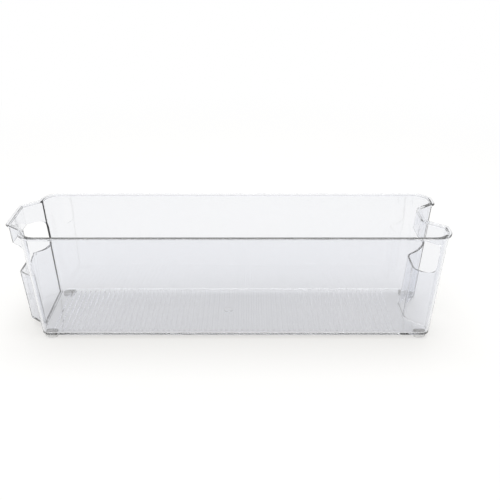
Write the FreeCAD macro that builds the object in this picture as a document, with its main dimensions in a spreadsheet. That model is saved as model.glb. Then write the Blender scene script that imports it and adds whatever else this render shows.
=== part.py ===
import FreeCAD, Part
import math
import os
import Sketcher

# Open storage bin of clear plastic, moulded in one piece, on four soft corner feet.
# X runs along the bin, Y across it and Z up. The origin is the middle of the box's lower side.
# The hand bay is at the left end (-X) and the hand recess at the right end (+X).

doc = FreeCAD.newDocument("ShelfBin")
slack = 0.01  # mm, or the part of a unit normal, within which two places or directions are the same
leastCut = 1.0  # mm3, the least that a cut takes away
startValue = 1.0  # what a bound size holds before its expression is worked out

# ---------------------------------------------------------------- driving dimensions, mm and degrees
sizes = (
    ("overallLength", 372.0, "bay rim to recess-end rim"),
    ("overallWidth", 105.0, "front rim to back rim"),
    ("overallHeight", 100.0, "feet to rim"),
    ("wallThickness", 1.8, "side walls, measured level"),
    ("baseThickness", 2.0, "floor"),
    ("draftAngle", 4.8, "lean of the outer walls"),
    ("rimOverhang", 1.8, "rim edge beyond the wall"),
    ("rimHeight", 2.2, "depth of the rim flange"),
    ("rimRound", 0.9, "rounding of the rim's outer edges, upper and lower"),
    ("rimCornerRadius", 17.0, "rim at the four corners; the walls there narrow downwards as cones"),
    ("baseEdgeRadius", 1.8, "lower outer edge"),
    ("floorRadius", 1.6, "walls into the floor, inside"),
    ("footHeight", 3.5, "underside of the base above the shelf"),
    ("bayDepth", 14.6, "bay face beyond the end wall"),
    ("bayRootGap", 1.4, "from the bay's root to the start of the corner's rounding"),
    ("baySideAngle", 49.2, "bay side away from the end wall"),
    ("bayFloorHeight", 7.0, "underside of the bay above the shelf"),
    ("bayRimRadius", 5.0, "rim at the bay's outer corners"),
    ("bayRootRadius", 2.0, "rim where the bay leaves the end"),
    ("recessDepth", 16.3, "recess behind the end rim"),
    ("recessMouthWidth", 51.0, "recess at the end rim"),
    ("recessSideAngle", 39.0, "recess side away from the X axis"),
    ("recessDraft", 3.6, "lean of the recess sides"),
    ("recessRimRadius", 8.0, "rim at the recess's inner corners"),
    ("mouthRimRadius", 6.0, "rim at the recess mouth"),
    ("bayCutTop", 82.3, "upper edge of the bay's finger opening"),
    ("bayCutBottom", 54.0, "its lower edge"),
    ("bayCutSetback", 0.8, "its ends inside the bay's root"),
    ("bayCutTopRadius", 9.0, "its upper corners"),
    ("bayCutBottomRadius", 9.0, "its lower corners"),
    ("recessCutTop", 83.0, "upper edge of the recess's finger opening"),
    ("recessCutBottom", 54.5, "its lower edge"),
    ("recessCutLap", 2.4, "its side beyond the recess mouth"),
    ("recessCutTopRadius", 4.0, "its upper corners"),
    ("recessCutBottomRadius", 12.0, "its lower corners"),
    ("cutMargin", 1.5, "how far a cut starts outside the wall"),
    ("ribPitch", 4.6, "floor rib to floor rib"),
    ("ribWidth", 2.6, "foot of one floor rib"),
    ("ribCrown", 1.2, "flat top of one floor rib"),
    ("ribHeight", 0.3, "floor rib above the floor"),
    ("ribEndMargin", 6.0, "plain floor at the two ends"),
    ("ribSideMargin", 5.0, "plain floor at the front and back"),
    ("gateDiameter", 8.0, "round gate mark"),
    ("gateRise", 0.7, "gate mark above the floor"),
    ("footSetback", 2.1, "foot inside the base outline"),
    ("footRunAlong", 6.0, "foot along X, beyond the rounding of its base corner"),
    ("footRunAcross", 3.0, "foot along Y, beyond the rounding of its base corner"),
    ("footInnerRadius", 2.5, "foot's corners away from the base corner"),
    ("footChamfer", 0.6, "foot's lower edge"),
    ("footSocketDepth", 0.6, "how far a foot sits in the base"),
    ("footClearance", 0.15, "foot to the side of its socket"),
)

sheet = doc.addObject("Spreadsheet::Sheet", "dims")
for row, (alias, value, note) in enumerate(sizes, start=1):
    sheet.set("A%d" % row, note)
    sheet.set("B%d" % row, str(value))
    sheet.setAlias("B%d" % row, alias)
doc.recompute()


# ---------------------------------------------------------------- expressions shared by the pieces
halfLength = "dims.overallLength / 2"
halfWidth = "dims.overallWidth / 2"
baseLevel = "dims.footHeight"
floorLevel = "(dims.footHeight + dims.baseThickness)"
bayFloorLevel = "(dims.bayFloorHeight + dims.baseThickness)"
rimLevel = "dims.overallHeight"
bayRootHalf = "(%s - dims.rimCornerRadius - dims.bayRootGap)" % halfWidth


def drafted_inset(level):
    """How far the wall's outer face lies inside the rim's edge at a level."""
    return "(dims.rimOverhang + (dims.overallHeight - %s) * tan(dims.draftAngle))" % level


def inner(inset):
    return "(%s + dims.wallThickness)" % inset


# ---------------------------------------------------------------- sketch helpers
def origin_item(body, role):
    return next(item for item in body.Origin.OriginFeatures if item.Role == role)


def new_sketch(body, name, role, offset):
    sketch = body.newObject("Sketcher::SketchObject", name)
    sketch.AttachmentSupport = [(origin_item(body, role), "")]
    sketch.MapMode = "FlatFace"
    sketch.setExpression("AttachmentOffset.Base.z", offset)
    return sketch


def bind(sketch, kind, elements, expression):
    index = sketch.addConstraint(Sketcher.Constraint(kind, *elements, startValue))
    sketch.setExpression("Constraints[%d]" % index, expression)


def join(sketch, kind, *elements):
    sketch.addConstraint(Sketcher.Constraint(kind, *elements))


def rounded_outline(body, name, role, offset, corners):
    """A closed outline through corners (x, y, radius); a radius of None leaves a corner sharp."""
    sketch = new_sketch(body, name, role, offset)
    guides = []
    for across, up, radius in corners:
        point = sketch.addGeometry(Part.Point(FreeCAD.Vector(0, 0, 0)), True)
        bind(sketch, "DistanceX", (-1, 1, point, 1), across)
        bind(sketch, "DistanceY", (-1, 1, point, 1), up)
        circle = None
        if radius is not None:
            ring = Part.Circle(FreeCAD.Vector(0, 0, 0), FreeCAD.Vector(0, 0, 1), startValue)
            circle = sketch.addGeometry(ring, True)
            join(sketch, "Coincident", circle, 3, point, 1)
            bind(sketch, "Radius", (circle,), radius)
        guides.append((point, circle))
    doc.recompute()

    places = []
    for point, circle in guides:
        solved = sketch.Geometry[point]
        place = FreeCAD.Vector(solved.X, solved.Y, 0)
        places.append((place, 0.0 if circle is None else sketch.Geometry[circle].Radius))

    arcs = []
    for index, (place, radius) in enumerate(places):
        back = (places[index - 1][0] - place).normalize()
        ahead = (places[(index + 1) % len(places)][0] - place).normalize()
        if radius == 0.0:
            arcs.append((place, place, None, True))
            continue
        half = math.acos(max(-1.0, min(1.0, back.dot(ahead)))) / 2
        centre = place + (back + ahead).normalize() * (radius / math.sin(half))
        start = place + back * (radius / math.tan(half))
        end = place + ahead * (radius / math.tan(half))
        turnsLeft = back.cross(ahead).z < 0
        first, last = (start, end) if turnsLeft else (end, start)
        firstAngle = math.atan2(first.y - centre.y, first.x - centre.x)
        lastAngle = math.atan2(last.y - centre.y, last.x - centre.x)
        if lastAngle < firstAngle:
            lastAngle += 2 * math.pi
        ring = Part.Circle(centre, FreeCAD.Vector(0, 0, 1), radius)
        arc = sketch.addGeometry(Part.ArcOfCircle(ring, firstAngle, lastAngle), False)
        arcs.append((start, end, arc, turnsLeft))

    lines = []
    for index, (_, end, _, _) in enumerate(arcs):
        following = arcs[(index + 1) % len(arcs)][0]
        lines.append(sketch.addGeometry(Part.LineSegment(end, following), False))

    for index, (point, circle) in enumerate(guides):
        arc, turnsLeft = arcs[index][2:]
        before, after = lines[index - 1], lines[index]
        if arc is None:
            join(sketch, "Coincident", before, 2, point, 1)
            join(sketch, "Coincident", after, 1, point, 1)
            continue
        join(sketch, "Tangent", before, 2, arc, 1 if turnsLeft else 2)
        join(sketch, "Tangent", after, 1, arc, 2 if turnsLeft else 1)
        join(sketch, "Equal", circle, arc)
        join(sketch, "PointOnObject", point, 1, before)
        join(sketch, "PointOnObject", point, 1, after)
    doc.recompute()
    if sketch.solve() != 0:
        raise RuntimeError("%s doesn't solve" % name)
    return sketch


def both_sides(corners):
    """Mirrors the front half's corners, given from left to right, to close an outline."""
    behind = [(across, "-(%s)" % up, radius) for across, up, radius in reversed(corners)]
    return list(corners) + behind


# ---------------------------------------------------------------- feature helpers
def lean_walls(body, name, angle, wanted):
    """Leans the upright faces that the test picks, below the rim's level, so that the form narrows down."""
    base = body.Tip
    upright, top = [], None
    for index, face in enumerate(base.Shape.Faces, start=1):
        normal = face.normalAt(0, 0)
        if abs(normal.z) < slack and wanted(normal):
            upright.append("Face%d" % index)
        if normal.z > 1 - slack:
            top = "Face%d" % index
    before = base.Shape.Volume
    feature = body.newObject("PartDesign::Draft", name)
    feature.Base = (base, upright)
    feature.NeutralPlane = (base, [top])
    feature.setExpression("Angle", angle)
    feature.Reversed = True
    doc.recompute()
    if feature.Shape.isNull() or feature.Shape.Volume > before:
        raise RuntimeError("%s doesn't narrow the form" % name)
    return feature


def combine(body, kind, name, tool):
    feature = body.newObject("PartDesign::Boolean", name)
    feature.Type = kind
    feature.setObjects([tool])
    doc.recompute()
    return feature


def pad(body, name, sketch, length, downwards=False):
    feature = body.newObject("PartDesign::Pad", name)
    feature.Profile = sketch
    feature.setExpression("Length", length)
    feature.Reversed = downwards
    doc.recompute()
    return feature


def pocket(body, name, sketch, length, towardsNormal):
    before = body.Shape.Volume
    feature = body.newObject("PartDesign::Pocket", name)
    feature.Profile = sketch
    feature.setExpression("Length", length)
    feature.Reversed = towardsNormal
    doc.recompute()
    if feature.Shape.Volume > before - leastCut:
        raise RuntimeError("%s cuts nothing" % name)
    return feature


def edge_round(body, name, radius, wanted):
    """Rounds the edges of the body that the test picks."""
    base = body.Tip
    names = ["Edge%d" % (i + 1) for i, edge in enumerate(base.Shape.Edges) if wanted(edge)]
    if not names:
        raise RuntimeError("%s finds no edge" % name)
    feature = body.newObject("PartDesign::Fillet", name)
    feature.Base = (base, names)
    feature.setExpression("Radius", radius)
    doc.recompute()
    if feature.Shape.isNull():
        raise RuntimeError("%s doesn't fit" % name)
    return feature


def size(alias):
    return float(sheet.get(alias))


def lies_level(edge, level):
    return all(abs(vertex.Z - level) < slack for vertex in edge.Vertexes)


def rises_at(outline, corners):
    """A test that picks the edges coming down from some of an outline's corners, counted from 0."""
    points = [item for item in outline.Geometry if isinstance(item, Part.Point)]
    places = [outline.Placement.multVec(FreeCAD.Vector(points[i].X, points[i].Y, 0)) for i in corners]

    def wanted(edge):
        low, high = sorted((vertex.Point for vertex in edge.Vertexes), key=lambda point: point.z)
        return high.z - low.z > slack and any(high.distanceToPoint(place) < slack for place in places)
    return wanted


# ---------------------------------------------------------------- outlines of the bin
def end_corner(inset, radius):
    return ("-%s + dims.bayDepth + %s" % (halfLength, inset), "-(%s - %s)" % (halfWidth, inset), radius)


def recess_corners(inset, cornerRadius, mouthRadius, recessRadius):
    """The right end's front half: the corner, the recess mouth and the recess floor."""
    floorRun = "(%s + dims.recessDepth)" % inset
    mouthHalf = "dims.recessMouthWidth / 2 + %s / cos(dims.recessSideAngle)" % inset
    side = "-(%s - %s * tan(dims.recessSideAngle))"
    return [
        ("%s - %s" % (halfLength, inset), "-(%s - %s)" % (halfWidth, inset), cornerRadius),
        ("%s - %s" % (halfLength, inset), side % (mouthHalf, inset), mouthRadius),
        ("%s - %s" % (halfLength, floorRun), side % (mouthHalf, floorRun), recessRadius),
    ]


def bay_corners(inset, rootRadius, faceRadius):
    """The bay's front half: its face corner and its root on the end wall."""
    rootHalf = "%s - %s * tan(dims.baySideAngle / 2)" % (bayRootHalf, inset)
    flare = "dims.bayDepth / tan(dims.baySideAngle)"
    return [
        ("-%s + %s" % (halfLength, inset), "-(%s - %s)" % (rootHalf, flare), faceRadius),
        ("-%s + dims.bayDepth + %s" % (halfLength, inset), "-(%s)" % rootHalf, rootRadius),
    ]


def tub_outline(body, name, inset):
    """From the left end: the rounded corners 0 and 1, then the sharp 2 mouth and 3 recess floor."""
    cornerRadius = "dims.rimCornerRadius - %s" % inset
    corners = [end_corner(inset, cornerRadius)] + recess_corners(inset, cornerRadius, None, None)
    return rounded_outline(body, name, "XY_Plane", rimLevel, both_sides(corners))


def bay_outline(body, name, inset):
    """The bay's sharp corners, 0 face and 1 root, and 2 a point inside the tub, which closes it."""
    face, root = bay_corners(inset, None, None)
    # The closing side runs less steeply than the root itself does on its way down the leaning wall.
    closingSlope = "tan(dims.baySideAngle / 2) / 2"
    inside = ("%s + dims.bayDepth" % root[0], "%s + dims.bayDepth * %s" % (root[1], closingSlope), None)
    return rounded_outline(body, name, "XY_Plane", rimLevel, both_sides([face, root, inside]))


def rim_outline(body, name):
    corners = bay_corners("0", "dims.bayRootRadius", "dims.bayRimRadius")
    corners.append(end_corner("0", "dims.rimCornerRadius"))
    corners += recess_corners("0", "dims.rimCornerRadius", "dims.mouthRimRadius", "dims.recessRimRadius")
    return rounded_outline(body, name, "XY_Plane", rimLevel, both_sides(corners))


# ---------------------------------------------------------------- bin
def tub_form(label, lowerLevel, thickness):
    """The tub's outer form, or its inside, as a solid from the rim down, with leaning walls."""
    inset = "(dims.rimOverhang + %s)" % thickness
    body = doc.addObject("PartDesign::Body", label)
    outline = tub_outline(body, label + "Outline", inset)
    pad(body, label + "Block", outline, "dims.overallHeight - %s" % lowerLevel, downwards=True)
    lean_walls(body, label + "Walls", "dims.draftAngle", lambda n: min(abs(n.x), abs(n.y)) < slack)
    lean_walls(body, label + "RecessSides", "dims.recessDraft", lambda n: min(abs(n.x), abs(n.y)) > slack)
    edge_round(body, label + "Mouth", "dims.mouthRimRadius - %s" % inset, rises_at(outline, (2, 5)))
    edge_round(body, label + "Recess", "dims.recessRimRadius + %s" % inset, rises_at(outline, (3, 4)))
    return body


def bay_form(label, lowerLevel, thickness):
    """The bay's outer form, or its inside, as a solid from the rim down, with leaning walls."""
    inset = "(dims.rimOverhang + %s)" % thickness
    body = doc.addObject("PartDesign::Body", label)
    outline = bay_outline(body, label + "Outline", inset)
    pad(body, label + "Block", outline, "dims.overallHeight - %s" % lowerLevel, downwards=True)
    lean_walls(body, label + "Walls", "dims.draftAngle", lambda n: n.x < -slack)
    edge_round(body, label + "Corners", "dims.bayRimRadius - %s" % inset, rises_at(outline, (0, 5)))
    return body


def level_band(half, bottom, lowerRadius, top, upperRadius):
    """An opening seen along X: level edges and two rounded ends."""
    return [
        ("-" + half, bottom, lowerRadius),
        (half, bottom, lowerRadius),
        (half, top, upperRadius),
        ("-" + half, top, upperRadius),
    ]


def bay_opening(body):
    """Finger opening that goes right round the bay wall, from root to root."""
    half = "(%s - dims.bayCutSetback)" % bayRootHalf
    corners = level_band(half, "dims.bayCutBottom", "dims.bayCutBottomRadius",
                         "dims.bayCutTop", "dims.bayCutTopRadius")
    start = "-(%s + dims.cutMargin)" % halfLength
    reach = "dims.bayDepth + %s + 2 * dims.cutMargin" % inner(drafted_inset(floorLevel))
    sketch = rounded_outline(body, "bayOpeningOutline", "YZ_Plane", start, corners)
    return pocket(body, "bayOpening", sketch, reach, True)


def recess_opening(body):
    """Finger opening that goes right round the recess wall and just past its mouth."""
    mouth = "dims.rimOverhang / cos(dims.recessSideAngle)"
    half = "(dims.recessMouthWidth / 2 + %s + dims.recessCutLap)" % mouth
    corners = level_band(half, "dims.recessCutBottom", "dims.recessCutBottomRadius",
                         "dims.recessCutTop", "dims.recessCutTopRadius")
    start = "%s + dims.cutMargin" % halfLength
    reach = "dims.recessDepth + %s + 2 * dims.cutMargin" % inner(drafted_inset(floorLevel))
    sketch = rounded_outline(body, "recessOpeningOutline", "YZ_Plane", start, corners)
    return pocket(body, "recessOpening", sketch, reach, False)


def floor_ribs(body):
    """Low ribs across the floor, repeated along it, and the round gate mark in their middle."""
    floorInset = inner(drafted_inset(floorLevel))
    ends = "(%s + dims.ribEndMargin)" % floorInset
    span = "(dims.overallLength - dims.bayDepth - dims.recessDepth - 2 * %s)" % ends
    first = "-%s + dims.bayDepth + %s" % (halfLength, ends)
    length = "dims.overallWidth - 2 * %s - 2 * dims.ribSideMargin" % floorInset
    foot = floorLevel
    crown = "%s + dims.ribHeight" % floorLevel
    corners = [
        (first, foot, None),
        ("%s + dims.ribWidth" % first, foot, None),
        ("%s + (dims.ribWidth + dims.ribCrown) / 2" % first, crown, None),
        ("%s + (dims.ribWidth - dims.ribCrown) / 2" % first, crown, None),
    ]
    sketch = rounded_outline(body, "ribSection", "XZ_Plane", "0", corners)
    rib = pad(body, "rib", sketch, length)
    rib.Midplane = True
    pattern = body.newObject("PartDesign::LinearPattern", "ribs")
    pattern.Originals = [rib]
    pattern.Direction = (origin_item(body, "X_Axis"), [""])
    count = "floor((%s - dims.ribWidth) / dims.ribPitch)" % span
    pattern.setExpression("Occurrences", "%s + 1" % count)
    pattern.setExpression("Length", "%s * dims.ribPitch" % count)
    doc.recompute()
    body.Tip = pattern
    gate = new_sketch(body, "gateCircle", "XY_Plane", floorLevel)
    ring = Part.Circle(FreeCAD.Vector(0, 0, 0), FreeCAD.Vector(0, 0, 1), startValue)
    circle = gate.addGeometry(ring, False)
    join(gate, "Coincident", circle, 3, -1, 1)
    bind(gate, "Diameter", (circle,), "dims.gateDiameter")
    doc.recompute()
    pad(body, "gateMark", gate, "dims.gateRise")


# ---------------------------------------------------------------- feet
# Each foot is placed by two signs: along X (-1 left, +1 right) and along Y (-1 front, +1 back).
feet = {
    "foot_front_left": (-1, -1),
    "foot_front_right": (1, -1),
    "foot_back_left": (-1, 1),
    "foot_back_right": (1, 1),
}


def foot_outline(body, name, offset, signs, growth):
    """A foot's outline, grown all round by a clearance, with one corner that follows the base corner's."""
    alongSign, acrossSign = signs
    inset = "(%s + dims.footSetback - %s)" % (drafted_inset(baseLevel), growth)
    endLoss = "dims.bayDepth" if alongSign < 0 else "0"
    outerX = "(%s - %s - %s)" % (halfLength, endLoss, inset)
    outerY = "(%s - %s)" % (halfWidth, inset)
    cornerRadius = "(dims.rimCornerRadius - %s)" % inset
    innerX = "(%s - %s - dims.footRunAlong - %s)" % (outerX, cornerRadius, growth)
    innerY = "(%s - %s - dims.footRunAcross - %s)" % (outerY, cornerRadius, growth)
    corners = [
        (outerX, outerY, cornerRadius),
        (innerX, outerY, "dims.footInnerRadius + %s" % growth),
        (innerX, innerY, "dims.footInnerRadius + %s" % growth),
        (outerX, innerY, "dims.footInnerRadius + %s" % growth),
    ]
    placed = [("%d * %s" % (alongSign, x), "%d * %s" % (acrossSign, y), r) for x, y, r in corners]
    if alongSign * acrossSign < 0:
        placed.reverse()
    return rounded_outline(body, name, "XY_Plane", offset, placed)


def foot_socket(body, name, signs):
    sketch = foot_outline(body, name + "Outline", baseLevel, signs, "dims.footClearance")
    return pocket(body, name, sketch, "dims.footSocketDepth", True)


def build_foot(label, signs):
    body = doc.addObject("PartDesign::Body", label)
    body.Label = label
    sketch = foot_outline(body, label + "Outline", "0", signs, "0")
    pad(body, label + "Pad", sketch, "dims.footHeight + dims.footSocketDepth")
    base = body.Tip
    lower = ["Edge%d" % (i + 1) for i, edge in enumerate(base.Shape.Edges) if lies_level(edge, 0.0)]
    chamfer = body.newObject("PartDesign::Chamfer", label + "Chamfer")
    chamfer.Base = (base, lower)
    chamfer.setExpression("Size", "dims.footChamfer")
    doc.recompute()
    return body


def build_core():
    """The inside of the bin as a solid, like the mould's core."""
    core = tub_form("core", floorLevel, "dims.wallThickness")
    bayCore = bay_form("bayCore", bayFloorLevel, "dims.wallThickness")
    combine(core, "Fuse", "coreWithBay", bayCore)
    floor = size("footHeight") + size("baseThickness")
    edge_round(core, "floorEdge", "dims.floorRadius", lambda edge: lies_level(edge, floor))
    return core


def build_bin():
    body = tub_form("bin", baseLevel, "0")
    bay = bay_form("bay", "dims.bayFloorHeight", "0")
    combine(body, "Fuse", "tubWithBay", bay)
    edge_round(body, "baseEdge", "dims.baseEdgeRadius", lambda edge: lies_level(edge, size("footHeight")))
    pad(body, "rim", rim_outline(body, "rimOutline"), "dims.rimHeight", downwards=True)
    combine(body, "Cut", "hollow", build_core())
    bay_opening(body)
    recess_opening(body)
    edge_round(body, "rimEdge", "dims.rimRound", on_rim_outside)
    for label, signs in feet.items():
        foot_socket(body, "socket_" + label, signs)
    floor_ribs(body)
    return body


def on_rim_outside(edge):
    """Picks the rim's outer edges, upper and lower: the level edges that follow the rim's outline."""
    rimTop = size("overallHeight")
    if not lies_level(edge, rimTop) and not lies_level(edge, rimTop - size("rimHeight")):
        return False
    middle = edge.valueAt((edge.FirstParameter + edge.LastParameter) / 2)
    middle.z = rimTop
    outline = doc.getObject("rimOutline").Shape
    return outline.distToShape(Part.Vertex(middle))[0] < slack


pieces = [build_bin()]
for label, signs in feet.items():
    pieces.append(build_foot(label, signs))
doc.recompute()

# ---------------------------------------------------------------- checks and export
for item in doc.Objects:
    if "Invalid" in item.State or "Error" in item.State:
        raise RuntimeError("%s failed: %s" % (item.Label, item.State))

os.makedirs("parts", exist_ok=True)
for piece in pieces:
    shape = piece.Shape
    if shape.isNull() or not shape.isValid() or len(shape.Solids) != 1:
        raise RuntimeError("%s isn't one valid solid" % piece.Label)
    shape.exportStep("parts/%s.step" % piece.Label)
    box = shape.BoundBox
    print("%-18s volume %9.1f  X %7.2f %7.2f  Y %7.2f %7.2f  Z %6.2f %6.2f" % (
        piece.Label, shape.Volume, box.XMin, box.XMax, box.YMin, box.YMax, box.ZMin, box.ZMax))
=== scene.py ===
import bpy
import math
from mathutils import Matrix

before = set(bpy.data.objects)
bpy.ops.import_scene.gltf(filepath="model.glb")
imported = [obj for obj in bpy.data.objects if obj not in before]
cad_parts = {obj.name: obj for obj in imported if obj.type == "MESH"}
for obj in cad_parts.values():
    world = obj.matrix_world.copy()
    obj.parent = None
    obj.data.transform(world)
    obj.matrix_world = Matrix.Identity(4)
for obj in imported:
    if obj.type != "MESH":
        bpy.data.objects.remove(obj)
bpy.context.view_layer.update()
scene = bpy.context.scene
scene.view_settings.view_transform = "Standard"
# The clear walls lead light along inside them, from face to face, so each ray bounces many times.
bounceSettings = {"all": 128, "glossy": 96, "transmission": 32}
scene.cycles.max_bounces = bounceSettings["all"]
scene.cycles.glossy_bounces = bounceSettings["glossy"]
scene.cycles.transmission_bounces = bounceSettings["transmission"]
scene.cycles.caustics_refractive = False  # the clear walls' own shadow colour stands for it
plainWhite = (1, 1, 1, 1)
print("fridge bin: frame loaded,", len(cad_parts), "pieces")


def hexColour(code):  # sRGB hex to the linear colour that the shaders use
    parts = [int(code[i:i + 2], 16) / 255 for i in (1, 3, 5)]
    return [p / 12.92 if p <= 0.04045 else ((p + 0.055) / 1.055) ** 2.4 for p in parts] + [1.0]


def addNode(tree, kind, settings=None, **wires):  # a value fills the socket, an output links to it
    node = tree.nodes.new(kind)
    for key, value in (settings or {}).items():
        setattr(node, key, value)
    for key, value in wires.items():
        numbered = key.startswith("in") and key[2:].isdigit()  # in0 is the first socket
        socket = node.inputs[int(key[2:]) if numbered else key.replace("_", " ")]
        if isinstance(value, bpy.types.NodeSocket):
            tree.links.new(value, socket)
        else:
            socket.default_value = value
    return node


def newMaterial(name):
    material = bpy.data.materials.new(name)
    material.use_nodes = True
    material.node_tree.nodes.clear()
    return material, material.node_tree


def fineBump(tree, width, detail, height):  # a shallow relief, as broad and as high as given
    place = addNode(tree, "ShaderNodeTexCoord").outputs["Object"]
    relief = addNode(tree, "ShaderNodeTexNoise", Vector=place, Scale=1 / width, Detail=detail)
    bump = addNode(tree, "ShaderNodeBump", Height=relief.outputs[0], Distance=height, Strength=1.0)
    return bump.outputs["Normal"]


def backgroundRay(tree):  # 1 for what the camera sees, straight or through or in the clear plastic
    path = addNode(tree, "ShaderNodeLightPath")
    straightOrMirrored = addNode(tree, "ShaderNodeMath", {"operation": "MAXIMUM"},
                                 in0=path.outputs["Is Camera Ray"],
                                 in1=path.outputs["Is Glossy Ray"])
    return addNode(tree, "ShaderNodeMath", {"operation": "MAXIMUM"},
                   in0=straightOrMirrored.outputs[0],
                   in1=path.outputs["Is Transmission Ray"]).outputs[0]


def smoothRange(tree, value, start, end, low, high):  # low to start, then up to high at end
    return addNode(tree, "ShaderNodeMapRange", {"interpolation_type": "SMOOTHSTEP"}, Value=value,
                   From_Min=start, From_Max=end, To_Min=low, To_Max=high).outputs["Result"]


# The camera looks down on the long front side of the bin.
cameraSettings = {
    "place": (0.01986, -0.59325, 0.34509),
    "tilt": 64.79,  # degrees up from looking straight down
    "lens": 53.29,
    "sensor": 36.0,
}
cameraData = bpy.data.cameras.new("camera")
cameraData.lens = cameraSettings["lens"]
cameraData.sensor_width = cameraSettings["sensor"]
camera = bpy.data.objects.new("camera", cameraData)
camera.location = cameraSettings["place"]
camera.rotation_euler = (math.radians(cameraSettings["tilt"]), 0, 0)
scene.collection.objects.link(camera)
scene.camera = camera
print("camera set")


# Injection moulded PET: water clear and glossy, with a faint cool grey that deepens where
# the eye looks along a wall, and a slow waviness where the melt cooled against the mould.
clearSettings = {
    "tint": "#F5F6F9",
    "depthTint": "#808080",
    "depthPerMetre": 11.0,
    "ior": 1.57,
    "roughness": 0.015,
    "waveWidth": 0.030,
    "waveDetail": 1.0,
    "waveHeight": 0.00003,
    "shadow": "#D5D2CC",
}


def clearMoulded():
    s = clearSettings
    material, tree = newMaterial("clearPetMoulded")
    waves = fineBump(tree, s["waveWidth"], s["waveDetail"], s["waveHeight"])
    plastic = addNode(tree, "ShaderNodeBsdfPrincipled", Base_Color=hexColour(s["tint"]),
                      IOR=s["ior"], Roughness=s["roughness"], Transmission_Weight=1.0,
                      Normal=waves)
    lampLight = addNode(tree, "ShaderNodeBsdfTransparent", Color=hexColour(s["shadow"]))
    path = addNode(tree, "ShaderNodeLightPath")
    surface = addNode(tree, "ShaderNodeMixShader", in0=path.outputs["Is Shadow Ray"],
                      in1=plastic.outputs[0], in2=lampLight.outputs[0])
    depth = addNode(tree, "ShaderNodeVolumeAbsorption", Color=hexColour(s["depthTint"]),
                    Density=s["depthPerMetre"])
    addNode(tree, "ShaderNodeOutputMaterial", Surface=surface.outputs[0], Volume=depth.outputs[0])
    return material


# Soft clear elastomer feet: milky against the bin, with a satin skin from a fine blasted mould.
gelSettings = {
    "tint": "#EDEEEF",
    "cover": 0.45,
    "ior": 1.42,
    "roughness": 0.30,
    "grainWidth": 0.0006,
    "grainDetail": 2.0,
    "grainHeight": 0.00001,
}


def clearGel():
    s = gelSettings
    material, tree = newMaterial("clearGelSatin")
    grain = fineBump(tree, s["grainWidth"], s["grainDetail"], s["grainHeight"])
    gel = addNode(tree, "ShaderNodeBsdfPrincipled", Base_Color=hexColour(s["tint"]),
                  Alpha=s["cover"], IOR=s["ior"], Roughness=s["roughness"], Normal=grain)
    addNode(tree, "ShaderNodeOutputMaterial", Surface=gel.outputs[0])
    return material


binMaterial = clearMoulded()
footMaterial = clearGel()
for name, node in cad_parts.items():
    node.material_slots[0].material = footMaterial if name.startswith("foot") else binMaterial
print("clear plastic on the bin, clear gel on its feet")


# A plain pale floor: the bin's soft shadow stays near it, and further out the floor is plain white.
floorSettings = {
    "size": 14.0,
    "colour": "#F6F5F2",
    "plainNear": 0.6,  # share of plain white that the eye sees within nearRadius
    "nearRadius": 0.30,
    "farRadius": 0.90,
}
bpy.ops.mesh.primitive_plane_add(size=floorSettings["size"], location=(0, 0, 0))
floor = bpy.context.object
floor.name = "floor"
floorMaterial, floorTree = newMaterial("paperSweep")
paper = addNode(floorTree, "ShaderNodeBsdfDiffuse", Color=hexColour(floorSettings["colour"]))
glow = addNode(floorTree, "ShaderNodeEmission", Color=plainWhite, Strength=1.0)
floorPlace = addNode(floorTree, "ShaderNodeTexCoord").outputs["Object"]
reach = addNode(floorTree, "ShaderNodeVectorMath", {"operation": "LENGTH"}, in0=floorPlace)
plain = smoothRange(floorTree, reach.outputs["Value"], floorSettings["nearRadius"],
                    floorSettings["farRadius"], floorSettings["plainNear"], 1.0)
share = addNode(floorTree, "ShaderNodeMath", {"operation": "MULTIPLY"},
                in0=backgroundRay(floorTree), in1=plain)
floorMix = addNode(floorTree, "ShaderNodeMixShader", in0=share.outputs[0],
                   in1=paper.outputs[0], in2=glow.outputs[0])
addNode(floorTree, "ShaderNodeOutputMaterial", Surface=floorMix.outputs[0])
floor.data.materials.append(floorMaterial)
print("floor laid")


# Plain soft studio light: a pale world, a little greyer overhead, and two broad lamps.
lightSettings = {
    "worldFill": 0.45,
    "overheadWhite": 0.75,
    "greyFrom": 0.3,  # height of the looking direction: 0 at the horizon, 1 overhead
    "greyFull": 0.8,
    "lamps": {
        "overhead": {"place": (0.0, 0.1, 1.6), "size": 1.2, "power": 20.0},
        "front": {"place": (0.0, -1.6, 1.6), "size": 1.6, "power": 7.5},
    },
}
world = bpy.data.worlds.new("studio")
scene.world = world
world.use_nodes = True
worldTree = world.node_tree
worldTree.nodes.clear()
fill = addNode(worldTree, "ShaderNodeBackground", Color=plainWhite,
               Strength=lightSettings["worldFill"])
skyPlace = addNode(worldTree, "ShaderNodeTexCoord").outputs["Generated"]
skyHeight = addNode(worldTree, "ShaderNodeSeparateXYZ", in0=skyPlace).outputs["Z"]
skyWhite = smoothRange(worldTree, skyHeight, lightSettings["greyFrom"], lightSettings["greyFull"],
                       1.0, lightSettings["overheadWhite"])
white = addNode(worldTree, "ShaderNodeBackground", Color=plainWhite, Strength=skyWhite)
worldMix = addNode(worldTree, "ShaderNodeMixShader", in0=backgroundRay(worldTree),
                   in1=fill.outputs[0], in2=white.outputs[0])
addNode(worldTree, "ShaderNodeOutputWorld", Surface=worldMix.outputs[0])
for name, lamp in lightSettings["lamps"].items():
    lampData = bpy.data.lights.new(name, "AREA")
    lampData.shape = "SQUARE"
    lampData.size = lamp["size"]
    lampData.energy = lamp["power"]
    lampObject = bpy.data.objects.new(name, lampData)
    lampObject.location = lamp["place"]
    lampObject.rotation_mode = "QUATERNION"
    lampObject.rotation_quaternion = lampObject.location.to_track_quat("Z", "Y")  # faces the bin
    scene.collection.objects.link(lampObject)
print("lamps and world set")
